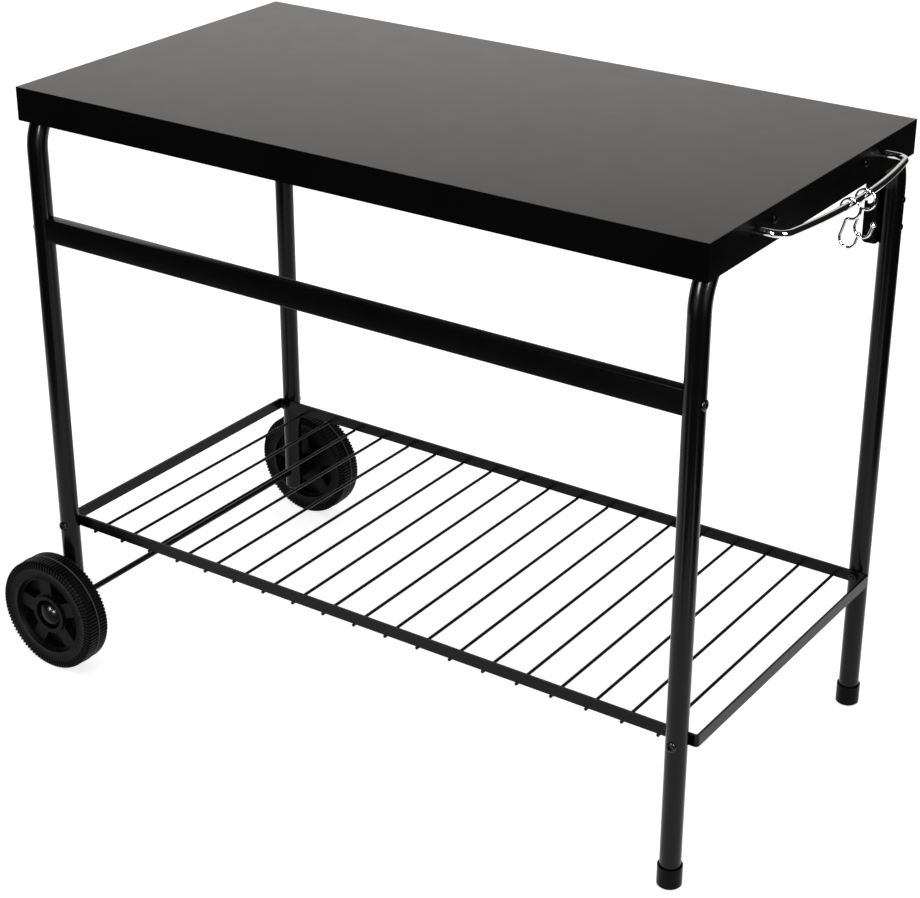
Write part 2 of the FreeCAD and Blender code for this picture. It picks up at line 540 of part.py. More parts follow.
def make_wheels():
    """Two moulded wheels: a revolved rim, hub and web, with pockets between the spokes and a slotted tread."""
    wheel = node(new_body("wheel_rear"), "wheel_rear")
    rim_radius = "Sizes.wheel_diameter / 2"
    crown = f"({rim_radius} - Sizes.ridge_height)"
    shoulder = f"{crown} - Sizes.crown_round"
    root = "Sizes.tread_root / 2"
    opening = "Sizes.rim_opening / 2"
    mouth = f"({opening} + Sizes.rim_draft)"
    dish_radius = f"((({root} - {mouth}) / 2)^2 + Sizes.dish_depth^2) / (2 * Sizes.dish_depth)"
    outer_face = "Sizes.wheel_width - Sizes.face_recess"
    hub_face = "Sizes.wheel_width - Sizes.hub_recess"
    section = sketch_on(wheel, "XY_Plane")
    chain(section, (
        ("Places.wheel_bore", "-Places.boss_reach"),
        ("Sizes.boss_diameter / 2", "-Places.boss_reach"),
        ("Sizes.boss_diameter / 2", "Sizes.face_recess"),
        (opening, "Sizes.face_recess"),
        (mouth, "0", dish_radius, -1),
        (root, "0"),
        (shoulder, "0", "Sizes.crown_round", 1),
        (crown, "Sizes.crown_round"),
        (crown, "Sizes.wheel_width - Sizes.crown_round", "Sizes.crown_round", 1),
        (shoulder, "Sizes.wheel_width"),
        (root, "Sizes.wheel_width", dish_radius, -1),
        (mouth, "Sizes.wheel_width"),
        (opening, outer_face),
        ("Sizes.hub_diameter / 2", outer_face),
        ("Sizes.hub_diameter / 2", hub_face),
        ("Sizes.cup_diameter / 2", hub_face),
        ("Sizes.cup_diameter / 2", "Places.cup_floor"),
        ("Places.wheel_bore", "Places.cup_floor"),
    ))
    turn_round(wheel, section)

    half_share = "(180 deg / Sizes.pocket_count)"
    pocket_low = "(Sizes.hub_diameter / 2 + Sizes.pocket_margin)"
    pocket_high = "(Sizes.rim_opening / 2 - Sizes.pocket_margin)"

    def pocket_corner(radius):
        """Half the width and the height of the pocket where its sides meet a radius."""
        angle = f"({half_share} - asin(Sizes.spoke_width / 2 / {radius}))"
        return f"{radius} * sin({angle})", f"{radius} * cos({angle})"

    pocket_depth = "(Sizes.wheel_width - 2 * Sizes.face_recess - Sizes.web_thick) / 2"
    for face, reverse in ((f"-({outer_face})", False), ("-Sizes.face_recess", True)):
        window = sketch_on(wheel, "XZ_Plane", face)
        low_x, low_y = pocket_corner(pocket_low)
        high_x, high_y = pocket_corner(pocket_high)
        chain(window, (
            (low_x, low_y),
            (high_x, high_y, pocket_high, 1),
            (f"-({high_x})", high_y),
            (f"-({low_x})", low_y, pocket_low, -1),
        ))
        pocket = cut(wheel, window, pocket_depth, reverse=not reverse)
        repeat(wheel, pocket, "Y_Axis", "Sizes.pocket_count")

    slot = sketch_on(wheel, "YZ_Plane")
    depth, width = "Sizes.tread_depth", "Sizes.wheel_width"
    chain(slot, (
        (f"-{depth}", root),
        (depth, root),
        (depth, f"{crown} - {depth}"),
        (f"{width} - {depth}", f"{crown} - {depth}"),
        (f"{width} - {depth}", root),
        (f"{width} + {depth}", root),
        (f"{width} + {depth}", f"{crown} + {depth}"),
        (f"-{depth}", f"{crown} + {depth}"),
    ))
    groove = cut(wheel, slot, "Sizes.tread_slot", both_ways=True)
    repeat(wheel, groove, "Y_Axis", "Sizes.tread_count")
    ridge = sketch_on(wheel, "XY_Plane")
    rectangle(ridge, f"{crown} - 2 * {depth}", f"({width} - Sizes.ridge_width) / 2",
              rim_radius, f"({width} + Sizes.ridge_width) / 2")
    turn_round(wheel, ridge)
    place(wheel, "-Places.frame_x", "Places.leg_outside + Sizes.wheel_offset", "Places.axle_z",
          ALONG_Y, num("Sizes.wheel_turn"))
    node(mirrored(wheel, "wheel_front", ALONG_Y), "wheel_front")


def make_axle():
    """The rod through both left legs, a washer beside each leg and a domed cap on each end."""
    axle = node(doc.addObject("Part::Cylinder", "axle"), "axle")
    axle.setExpression("Radius", "Sizes.axle_diameter / 2")
    axle.setExpression("Height", "2 * Places.axle_reach")
    place(axle, "-Places.frame_x", "-Places.axle_reach", "Places.axle_z", ALONG_X, -90)

    washer = new_body("axle_washer")
    ring = sketch_on(washer, "XZ_Plane")
    circle(ring, "0", "0", "Sizes.washer_diameter / 2")
    circle(ring, "0", "0", "Places.axle_hole")
    grow(washer, ring, "Sizes.washer_thick", reverse=True)
    place(washer, "-Places.frame_x", "Places.leg_outside + Sizes.seat_gap", "Places.axle_z")
    pair(washer, "axle_washers", ALONG_Y)

    cap = node(new_body("hub_cap_rear"), "hub_cap_rear")
    profile = sketch_on(cap, "XY_Plane")
    cap_radius = "Sizes.cap_diameter / 2"
    bore_radius = "Sizes.axle_diameter / 2 + Sizes.cap_play"
    dome_radius = f"(({cap_radius})^2 + Sizes.cap_dome^2) / (2 * Sizes.cap_dome)"
    chain(profile, (
        ("0", "Sizes.cap_bore_depth"),
        (bore_radius, "Sizes.cap_bore_depth"),
        (bore_radius, "0"),
        (cap_radius, "0"),
        (cap_radius, "Sizes.cap_height - Sizes.cap_dome", dome_radius, 1),
        ("0", "Sizes.cap_height"),
    ))
    turn_round(cap, profile)
    place(cap, "-Places.frame_x",
          "Places.leg_outside + Sizes.wheel_offset + Places.cup_floor + Sizes.end_play", "Places.axle_z")
    node(mirrored(cap, "hub_cap_front", ALONG_Y), "hub_cap_front")


def make_leg_ends():
    """Foot caps over the right legs, and plugs in the shorter left legs."""
    foot = node(new_body("foot_cap_rear"), "foot_cap_rear")
    outside = "(Places.tube_radius + Sizes.seat_gap + Sizes.foot_wall)"
    inside = "(Places.tube_radius + Sizes.seat_gap)"
    profile = sketch_on(foot, "XZ_Plane")
    chain(profile, (
        ("0", "0"),
        (f"{outside} - Sizes.foot_bevel", "0"),
        (outside, "Sizes.foot_bevel"),
        (outside, "Sizes.foot_height"),
        (inside, "Sizes.foot_height"),
        (inside, "Sizes.foot_floor"),
        ("0", "Sizes.foot_floor"),
    ))
    turn_round(foot, profile)
    place(foot, "Places.frame_x", "Places.leg_y")
    node(mirrored(foot, "foot_cap_front", ALONG_Y), "foot_cap_front")

    plug = node(new_body("leg_plug_rear"), "leg_plug_rear")
    stem = "(Places.tube_radius - Sizes.tube_wall - Sizes.seat_gap)"
    profile = sketch_on(plug, "XZ_Plane")
    chain(profile, (
        ("0", "0"),
        ("Places.tube_radius - Sizes.plug_bevel", "0"),
        ("Places.tube_radius", "Sizes.plug_bevel"),
        ("Places.tube_radius", "Sizes.plug_head"),
        (stem, "Sizes.plug_head"),
        (stem, "Sizes.plug_head + Sizes.plug_depth"),
        ("0", "Sizes.plug_head + Sizes.plug_depth"),
    ))
    turn_round(plug, profile)
    place(plug, "-Places.frame_x", "Places.leg_y", "Sizes.left_leg_end")
    node(mirrored(plug, "leg_plug_front", ALONG_Y), "leg_plug_front")


def make_handle():
    """The bent rod on the right skirt: two stubs, two corners and a grip that bows outwards."""
    handle = node(new_body("handle"), "handle")
    path = sketch_on(handle, "XY_Plane")
    half_span = "Sizes.handle_span / 2"
    chain(path, (
        ("0", f"-{half_span}"),
        ("Places.handle_stub", f"-{half_span}", "Sizes.handle_corner", 1),
        ("Places.bow_end_x", "-Places.bow_end_y", "Sizes.handle_bow", 1),
        ("Places.bow_end_x", "Places.bow_end_y", "Sizes.handle_corner", 1),
        ("Places.handle_stub", half_span),
        ("0", half_span),
    ), closed=False)
    rod = sketch_on(handle, "YZ_Plane")
    circle(rod, f"-{half_span}", "0", "Sizes.handle_rod / 2")
    sweep(handle, rod, path)
    threads = sketch_on(handle, "YZ_Plane")
    for side in ("-", ""):
        circle(threads, side + half_span, "0", "Places.small_hole")
    cut(handle, threads, "Sizes.handle_thread", reverse=True)
    place(handle, "Places.skirt_x", "0", "Places.frame_top")


def make_hook(label, along):
    """An S-hook of round wire: an eye over the grip, a neck, a slanted stem and a crook with a ball."""
    hook = node(new_body(label), label)
    eye = "Sizes.hook_eye_radius"
    crook = "Sizes.hook_crook_radius"
    path = sketch_on(hook, "XZ_Plane")
    chain(path, (
        (f"-{eye}", "Places.eye_z - Sizes.hook_tail"),
        (f"-{eye}", "Places.eye_z", eye, -1),
        ("0", f"Places.eye_z + {eye}", eye, -1),
        (eye, "Places.eye_z", eye, -1),
        (f"-{eye} * Places.wrap_sin", f"Places.eye_z - {eye} * Places.wrap_cos", "Sizes.hook_neck_radius", 1),
        ("Places.neck_x", "Places.neck_z"),
        ("Places.stem_x", "Places.stem_z", crook, 1),
        ("Places.crook_x", f"Places.crook_z - {crook}", crook, 1),
        ("Places.lip_x", "Places.lip_z"),
        ("Places.ball_x", "Places.ball_z"),
    ), closed=False)
    wire = sketch_on(hook, "XY_Plane", "Places.eye_z - Sizes.hook_tail")
    circle(wire, f"-{eye}", "0", "Sizes.hook_wire / 2")
    sweep(hook, wire, path)
    ball = hook.newObject("PartDesign::AdditiveSphere", label + "_ball")
    ball.AttachmentSupport = [(origin_part(hook, "XY_Plane"), "")]
    ball.MapMode = "FlatFace"
    ball.setExpression("AttachmentOffset.Base.x", "Places.ball_x")
    ball.setExpression("AttachmentOffset.Base.z", "Places.ball_z")
    ball.setExpression("Radius", "Sizes.hook_ball / 2")
    doc.recompute()
    grip_x = f"Places.skirt_x + Places.bow_x + (Sizes.handle_bow^2 - {along}^2)^0.5"
    place(hook, grip_x, along, "Places.frame_top")


def make_opener():
    """A plate folded to an L: a flange on the rear right leg's inner side, and a wing with a toothed mouth."""
    opener = node(new_body("bottle_opener"), "bottle_opener")
    thick, bend = "Sizes.opener_thick", "Sizes.opener_bend"
    seat = f"(Places.opener_x + {thick})"
    near = "(Places.leg_y - Sizes.opener_width / 2)"
    far = "(Places.leg_y + Sizes.opener_width / 2)"
    free = "(Places.frame_x - Sizes.opener_wing)"
    section = sketch_on(opener, "XY_Plane", "Places.opener_z - Sizes.opener_height / 2")
    chain(section, (
        (free, near),
        (f"{seat} - {bend}", near, bend, 1),
        (seat, f"{near} + {bend}"),
        (seat, far),
        ("Places.opener_x", far),
        ("Places.opener_x", f"{near} + {bend}", f"{bend} - {thick}", -1),
        (f"{seat} - {bend}", f"{near} + {thick}"),
        (free, f"{near} + {thick}"),
    ))
    grow(opener, section, "Sizes.opener_height")
    free_edge = num(free)
    round_edges(opener, "Sizes.opener_corner",
                lambda edge: runs_along(edge, ALONG_Y) and abs(edge.BoundBox.Center.x - free_edge) < 0.1)
    mouth_low = "(Places.opener_z + Sizes.mouth_rise)"
    mouth_high = f"({mouth_low} + Sizes.mouth_height)"
    tooth = "Sizes.tooth_side"
    round_start = f"{free} + Sizes.mouth_depth - Sizes.mouth_height / 2"
    mouth = sketch_on(opener, "XZ_Plane", f"-{near}")
    chain(mouth, (
        (f"{free} - {tooth}", f"{mouth_low} + {tooth}"),
        (f"{free} + {tooth}", f"{mouth_low} + {tooth}"),
        (f"{free} + {tooth}", mouth_low),
        (round_start, mouth_low, "Sizes.mouth_height / 2", 1),
        (f"{free} + Sizes.mouth_depth", f"{mouth_low} + Sizes.mouth_height / 2", "Sizes.mouth_height / 2", 1),
        (round_start, mouth_high),
        (f"{free} - {tooth}", mouth_high),
    ))
    cut(opener, mouth, thick)
    holes = sketch_on(opener, "YZ_Plane", "Places.opener_x")
    for side in ("-", "+"):
        circle(holes, "Places.leg_y", f"Places.opener_z {side} Sizes.opener_screws / 2", "Places.small_hole")
    cut(opener, holes, thick, reverse=True)


def make_screw(name, size, length):
    """A pan-head screw along Z: its shank below zero and its bevelled head above."""
    screw = new_body(name)
    shank = f"Sizes.screw_{size} / 2"
    head = f"Sizes.head_{size} / 2"
    height = f"Sizes.head_{size}_height"
    profile = sketch_on(screw, "XZ_Plane")
    chain(profile, (
        ("0", f"-({length})"),
        (f"{shank} * 0.8", f"-({length})"),
        (shank, f"-({length}) + {shank} * 0.2"),
        (shank, "0"),
        (head, "0"),
        (head, f"{height} * 0.4"),
        (f"{head} * 0.65", height),
        ("0", height),
    ))
    turn_round(screw, profile)
    return screw


def make_nut(name, size):
    """A hexagon nut along Z, standing on zero."""
    nut = new_body(name)
    outline = sketch_on(nut, "XY_Plane")
    corner = f"Sizes.nut_{size} / 3^0.5"
    turns = [30 + 60 * i for i in range(6)]
    chain(outline, [(f"{corner} * cos({turn} deg)", f"{corner} * sin({turn} deg)") for turn in turns])
    circle(outline, "0", "0", f"Places.{size}_hole")
    grow(nut, outline, f"Sizes.nut_{size}_height")
    return nut


def make_fasteners():
    """The screws and nuts that hold the table together."""
    clamped = "(Sizes.tube_diameter + Sizes.seat_gap + Sizes.strip_thick)"
    shelf_screw = make_screw("shelf_screw", "large",
                             f"{clamped} + Sizes.nut_large_height + Sizes.screw_overrun")
    place(shelf_screw, "Places.frame_x", "Places.leg_outside", "Places.strip_z", ALONG_X, -90)
    four(shelf_screw, "shelf_screws")
    shelf_nut = make_nut("shelf_nut", "large")
    place(shelf_nut, "Places.frame_x", f"Places.leg_outside - {clamped}", "Places.strip_z", ALONG_X, 90)
    four(shelf_nut, "shelf_nuts")

    rail_screw = make_screw("rail_screw", "large",
                            "Sizes.tube_diameter + Sizes.seat_gap + Sizes.rail_screw_grip")
    place(rail_screw, "Places.frame_x + Places.tube_radius", "-Places.leg_y", "Places.rail_z", ALONG_Y, 90)
    pair(rail_screw, "rail_screws", ALONG_X)

    pan_screw = make_screw("pan_screw", "pan", "Sizes.pan_screw_length")
    place(pan_screw, "Places.skirt_x", "Sizes.pan_screws / 2", "Places.frame_top", ALONG_Y, 90)
    four(pan_screw, "pan_screws")

    handle_screw = make_screw("handle_screw", "small",
                              "Sizes.tube_diameter + Sizes.seat_gap + Sizes.sheet_thick"
                              " + Sizes.handle_thread - Sizes.screw_overrun")
    place(handle_screw, "Places.frame_x - Places.tube_radius", "Sizes.handle_span / 2", "Places.frame_top",
          ALONG_Y, -90)
    pair(handle_screw, "handle_screws", ALONG_Y)

    opener_clamp = "(Sizes.tube_diameter + Sizes.seat_gap + Sizes.opener_thick)"
    members = []
    nuts = []
    for name, side in (("lower", "-"), ("upper", "+")):
        height = f"Places.opener_z {side} Sizes.opener_screws / 2"
        screw = make_screw("opener_screw_" + name, "small",
                           f"{opener_clamp} + Sizes.nut_small_height + Sizes.screw_overrun")
        place(screw, "Places.frame_x + Places.tube_radius", "Places.leg_y", height, ALONG_Y, 90)
        members.append(screw)
        nut = make_nut("opener_nut_" + name, "small")
        place(nut, "Places.opener_x", "Places.leg_y", height, ALONG_Y, -90)
        nuts.append(nut)
    group(members, "opener_screws")
    group(nuts, "opener_nuts")


def check_and_write():
    """Make sure that every object came out whole, then write each sub-part."""
    doc.recompute()
    for thing in doc.Objects:
        if "Invalid" in thing.State or "Error" in thing.State:
            raise RuntimeError(f"{thing.Label} failed: {thing.State}")
    for thing in nodes:
        if thing.Shape.isNull() or not thing.Shape.isValid() or not thing.Shape.Solids:
            raise RuntimeError(f"{thing.Label} has no sound shape")
    os.makedirs("parts", exist_ok=True)
    for thing in nodes:
        thing.Shape.exportStep(f"parts/{thing.Label}.step")
        print(f"{thing.Label}: {len(thing.Shape.Solids)} solids, {thing.Shape.Volume:.0f} mm3")


make_top_pan()
make_end_frames()
make_front_rail()
make_shelf()
make_wheels()
make_axle()
make_leg_ends()
make_handle()
make_hook("s_hook_front", "Sizes.front_hook")
make_hook("s_hook_rear", "Sizes.rear_hook")
make_opener()
make_fasteners()
check_and_write()
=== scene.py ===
import json
import math

import bmesh
import bpy
from mathutils import Matrix, Vector


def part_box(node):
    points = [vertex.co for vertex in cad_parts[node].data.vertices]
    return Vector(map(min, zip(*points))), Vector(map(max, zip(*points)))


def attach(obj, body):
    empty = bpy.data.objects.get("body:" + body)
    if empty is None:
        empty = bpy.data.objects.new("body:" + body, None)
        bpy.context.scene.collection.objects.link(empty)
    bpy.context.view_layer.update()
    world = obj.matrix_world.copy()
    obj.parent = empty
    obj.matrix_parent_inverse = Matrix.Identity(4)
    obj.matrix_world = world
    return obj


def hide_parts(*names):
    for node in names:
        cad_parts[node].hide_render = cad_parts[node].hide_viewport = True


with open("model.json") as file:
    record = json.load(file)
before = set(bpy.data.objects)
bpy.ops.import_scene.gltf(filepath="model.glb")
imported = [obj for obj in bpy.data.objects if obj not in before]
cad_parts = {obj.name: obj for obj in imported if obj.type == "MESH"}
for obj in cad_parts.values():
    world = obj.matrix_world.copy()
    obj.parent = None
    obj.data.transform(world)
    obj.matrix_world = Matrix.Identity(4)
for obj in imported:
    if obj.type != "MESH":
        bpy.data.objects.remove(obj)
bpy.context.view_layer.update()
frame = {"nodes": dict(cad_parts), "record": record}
nodes = frame["nodes"]
scene = bpy.context.scene


# Node trees

class Tree:
    """A node tree, and short ways to add nodes to it."""

    def __init__(self, tree):
        self.tree = tree

    def add(self, kind, **inputs):
        node = self.tree.nodes.new(kind)
        for socket, value in inputs.items():
            node.inputs[socket.replace("_", " ")].default_value = value
        return node

    def join(self, output, target, socket):
        self.tree.links.new(output, target.inputs[socket])

    def math(self, operation, *values):
        """A math node on values that are outputs or plain numbers."""
        node = self.tree.nodes.new("ShaderNodeMath")
        node.operation = operation
        for socket, value in enumerate(values):
            if isinstance(value, (int, float)):
                node.inputs[socket].default_value = value
            else:
                self.join(value, node, socket)
        return node.outputs["Value"]

    def spread(self, value, span, result, smooth=False):
        """Map a value from one span to another, and hold it at the ends."""
        node = self.tree.nodes.new("ShaderNodeMapRange")
        node.interpolation_type = "SMOOTHSTEP" if smooth else "LINEAR"
        node.inputs["From Min"].default_value, node.inputs["From Max"].default_value = span
        node.inputs["To Min"].default_value, node.inputs["To Max"].default_value = result
        self.join(value, node, "Value")
        return node.outputs["Result"]

    def seen(self):
        """1 where the camera, a mirror or glass looks, and 0 where light only bounces."""
        path = self.add("ShaderNodeLightPath").outputs
        direct = self.math("MAXIMUM", path["Is Camera Ray"], path["Is Glossy Ray"])
        return self.math("MAXIMUM", direct, path["Is Transmission Ray"])


NOISE_SPAN = (0.3, 0.7)


class Shader(Tree):
    """A material with a Principled shader whose pattern lies in metres."""

    def __init__(self, name, **inputs):
        self.material = bpy.data.materials.new(name)
        self.material.use_nodes = True
        super().__init__(self.material.node_tree)
        self.principled = self.tree.nodes["Principled BSDF"]
        self.coords = self.add("ShaderNodeTexCoord").outputs["Object"]
        for socket, value in inputs.items():
            self.principled.inputs[socket.replace("_", " ")].default_value = value

    def noise(self, scale, detail=3.0, stretch=(1, 1, 1)):
        """A noise pattern whose scale is per metre."""
        mapping = self.add("ShaderNodeMapping", Scale=stretch)
        self.join(self.coords, mapping, "Vector")
        noise = self.add("ShaderNodeTexNoise", Scale=scale, Detail=detail)
        self.join(mapping.outputs["Vector"], noise, "Vector")
        return noise.outputs["Fac"]

    def colour(self, value, stops):
        """Base colour along a value from 0 to 1."""
        ramp = self.add("ShaderNodeValToRGB")
        elements = ramp.color_ramp.elements
        while len(elements) < len(stops):
            elements.new(0.5)
        for element, (position, colour) in zip(elements, stops):
            element.position = position
            element.color = (*colour, 1)
        self.join(value, ramp, "Fac")
        self.join(ramp.outputs["Color"], self.principled, "Base Color")

    def roughness(self, value, low, high):
        self.join(self.spread(value, NOISE_SPAN, (low, high)), self.principled, "Roughness")

    def bump(self, value, distance):
        bump = self.add("ShaderNodeBump", Distance=distance)
        self.join(value, bump, "Height")
        self.join(bump.outputs["Normal"], self.principled, "Normal")


# Materials

def grey(level, warmth=0.0):
    return (level * (1 + warmth), level, level * (1 - warmth))


def painted(name, level, rough, specular, peel, uneven=0.1):
    """Baked black paint: a faint mottle, uneven gloss and the peel of a sprayed coat."""
    shader = Shader(name, Specular_IOR_Level=specular)
    shader.colour(shader.noise(9, 4), ((0.3, grey(level * 0.8)), (0.7, grey(level * 1.2, 0.02))))
    shader.roughness(shader.noise(30, 5), rough * (1 - uneven), rough * (1 + uneven))
    shader.bump(shader.noise(900, 2), peel)
    return shader.material


def moulded(name, level, rough, specular, grain):
    """Moulded black plastic with a fine grain and a few paler rubs."""
    shader = Shader(name, Specular_IOR_Level=specular)
    stops = ((0.35, grey(level * 0.7)), (0.62, grey(level)), (0.8, grey(level * 1.5)))
    shader.colour(shader.noise(60, 5), stops)
    shader.roughness(shader.noise(120, 4), rough * 0.85, rough * 1.15)
    shader.bump(shader.noise(2500, 2), grain)
    return shader.material


def painted_parting_highlight(material, mid, radius, half_width, level):
    """A painted highlight: a paler line round the middle of a wheel's tread, along the ridge where its mould
    closes.
    """
    tree = Tree(material.node_tree)
    principled = tree.tree.nodes["Principled BSDF"]
    split = tree.add("ShaderNodeSeparateXYZ")
    tree.join(tree.add("ShaderNodeTexCoord").outputs["Object"], split, "Vector")
    x, y, z = (split.outputs[name] for name in "XYZ")
    aside = tree.math("ABSOLUTE", tree.math("SUBTRACT", tree.math("ABSOLUTE", y), abs(mid.y)))
    along = tree.math("POWER", tree.math("SUBTRACT", x, mid.x), 2)
    above = tree.math("POWER", tree.math("SUBTRACT", z, mid.z), 2)
    out = tree.math("SQRT", tree.math("ADD", along, above))
    narrow = tree.spread(aside, (half_width * 0.8, half_width * 1.2), (1, 0))
    line = tree.math("MULTIPLY", narrow, tree.math("GREATER_THAN", out, radius))
    mix = tree.add("ShaderNodeMix")
    mix.data_type = "RGBA"
    colours = [socket for socket in mix.inputs if socket.type == "RGBA"]
    tree.tree.links.new(line, mix.inputs["Factor"])
    tree.tree.links.new(principled.inputs["Base Color"].links[0].from_socket, colours[0])
    colours[1].default_value = (*grey(level, 0.05), 1)
    tree.join([socket for socket in mix.outputs if socket.type == "RGBA"][0], principled, "Base Color")


def polished(name, level, rough):
    """Bright plating with a trace of polishing marks."""
    shader = Shader(name, Metallic=1.0)
    shader.colour(shader.noise(40, 3), ((0.3, grey(level * 0.95)), (0.7, grey(level))))
    shader.roughness(shader.noise(300, 3, (1, 0.15, 1)), rough * 0.6, rough * 1.6)
    return shader.material


def blackened(name, level, rough):
    """Steel with a dark oxide finish."""
    shader = Shader(name, Metallic=0.85)
    shader.colour(shader.noise(150, 4), ((0.3, grey(level * 0.7)), (0.7, grey(level * 1.3, 0.03))))
    shader.roughness(shader.noise(400, 4), rough * 0.8, rough * 1.25)
    shader.bump(shader.noise(3000, 2), 0.00002)
    return shader.material


# The pan's top and skirts are one sheet in one paint; these are lit and shaded copies of it: the top's is
# paler and glossier (painted sheen), the skirts' darker and almost without gloss (painted shade)
PAN_TOP_LIT_COPY = painted("pan_top_lit_copy", level=0.005, rough=0.36, specular=0.5, peel=0.000004, uneven=0.03)
SLOT_MATERIALS = {
    "pan_paint": painted("pan_skirt_shaded_copy", level=0.003, rough=0.3, specular=0.03, peel=0.00002),
    "frame_paint": painted("frame_paint", level=0.003, rough=0.2, specular=0.16, peel=0.00002),
    "shelf_paint": painted("shelf_paint", level=0.003, rough=0.25, specular=0.12, peel=0.00002),
    "wheel_plastic": moulded("wheel_plastic", level=0.004, rough=0.45, specular=0.06, grain=0.00003),
    "cap_plastic": moulded("cap_plastic", level=0.003, rough=0.2, specular=0.06, grain=0.00001),
    "chrome": polished("chrome", level=0.75, rough=0.05),
    "axle_steel": blackened("axle_steel", level=0.006, rough=0.35),
    "screw_steel": blackened("screw_steel", level=0.02, rough=0.25),
}
SCREW_STEEL = SLOT_MATERIALS["screw_steel"]
SCREW_PAINT = painted("screw_paint", level=0.003, rough=0.25, specular=0.05, peel=0.00001)
# The paler line along the tread's ridge is a painted highlight
PARTING_DEPTH = 0.0012
PARTING_HALF_WIDTH = 0.0008
PARTING_HIGHLIGHT_LEVEL = 0.07
wheel_mid = Vector(frame["record"]["behaviour"]["joints"][0]["pos_m"])
wheel_radius = wheel_mid.z
painted_parting_highlight(SLOT_MATERIALS["wheel_plastic"], wheel_mid, wheel_radius - PARTING_DEPTH, PARTING_HALF_WIDTH,
             PARTING_HIGHLIGHT_LEVEL)
for row in frame["record"]["subparts"]:
    target = nodes[row["node"]]
    target.data.materials.clear()
    target.data.materials.append(SLOT_MATERIALS[row["material_slot"]])


# Pieces made here

def loft(rings):
    """Points and faces of a closed skin through rings of equally many points, closed at both ends."""
    count = len(rings[0])
    points = [point for ring in rings for point in ring]
    faces = [tuple(reversed(range(count)))]
    for start in range(0, len(points) - count, count):
        for i in range(count):
            after = (i + 1) % count
            faces.append((start + i, start + after, start + count + after, start + count + i))
    faces.append(tuple(range(len(points) - count, len(points))))
    return points, faces


SHARP_ANGLE = math.radians(35)


def piece(name, points, faces, materials, body, slot):
    """A mesh that rides on a body, smooth except at its sharp edges."""
    mesh = bpy.data.meshes.new(name)
    mesh.from_pydata(points, [], faces)
    shell = bmesh.new()
    shell.from_mesh(mesh)
    bmesh.ops.recalc_face_normals(shell, faces=shell.faces)
    shell.to_mesh(mesh)
    shell.free()
    for material in materials:
        mesh.materials.append(material)
    mesh.shade_smooth()
    mesh.set_sharp_from_angle(angle=SHARP_ANGLE)
    made = bpy.data.objects.new(name, mesh)
    scene.collection.objects.link(made)
    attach(made, body)
    return made


# The top pan: one sheet of one paint, with a lit copy on the top as a painted sheen and a shaded copy on the
# darker skirts as painted shade
SHEET_THICK = 0.0015
FOLD_RADIUS = 0.0008
INNER_RADIUS = 0.0003
FOLD_STEPS = 6
CORNER_STEPS = 5


def pan_ring(low, high, inset, z):
    """A rectangle with rounded corners, set in from the pan's outline."""
    radius = max(FOLD_RADIUS - inset, INNER_RADIUS)
    ring = []
    for quarter, (x_side, y_side) in enumerate(((1, 1), (-1, 1), (-1, -1), (1, -1))):
        x = (high.x if x_side > 0 else low.x) - x_side * (inset + radius)
        y = (high.y if y_side > 0 else low.y) - y_side * (inset + radius)
        for step in range(CORNER_STEPS + 1):
            angle = math.radians(90 * (quarter + step / CORNER_STEPS))
            ring.append((x + radius * math.cos(angle), y + radius * math.sin(angle), z))
    return ring


def make_pan():
    low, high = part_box("top_pan")
    rings = [
        pan_ring(low, high, SHEET_THICK, high.z - SHEET_THICK),
        pan_ring(low, high, SHEET_THICK, low.z),
        pan_ring(low, high, 0, low.z),
    ]
    for step in range(FOLD_STEPS + 1):
        angle = math.radians(90 * step / FOLD_STEPS)
        inset = FOLD_RADIUS * (1 - math.cos(angle))
        rings.append(pan_ring(low, high, inset, high.z - FOLD_RADIUS * (1 - math.sin(angle))))
    paints = (SLOT_MATERIALS["pan_paint"], PAN_TOP_LIT_COPY)
    pan = piece("pan_shell", *loft(rings), paints, "table", "pan_paint")
    # The top's faces take the lit copy (painted sheen), the rest the shaded copy (painted shade)
    for face in pan.data.polygons:
        face.material_index = int(face.center.z > high.z - FOLD_RADIUS / 2)
    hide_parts("top_pan")


make_pan()

# The rail: a flat-sided tube whose ends fit round the legs, and the slim inserts inside it
RAIL_HEIGHT = 0.030
RAIL_DEPTH = 0.015
RAIL_WALL = 0.0015
RAIL_CORNER = 0.0015
RAIL_GAP = 0.0002


def upright_ring(centre, depth, height, corner, x_of):
    """A rounded rectangle across X, each point set along X by its distance from the middle plane."""
    ring = []
    for quarter, (y_side, z_side) in enumerate(((1, 1), (-1, 1), (-1, -1), (1, -1))):
        y = y_side * (depth / 2 - corner)
        z = z_side * (height / 2 - corner)
        for step in range(CORNER_STEPS + 1):
            angle = math.radians(90 * (quarter + step / CORNER_STEPS))
            across = y + corner * math.cos(angle)
            ring.append((x_of(across), centre.y + across, centre.z + z + corner * math.sin(angle)))
    return ring


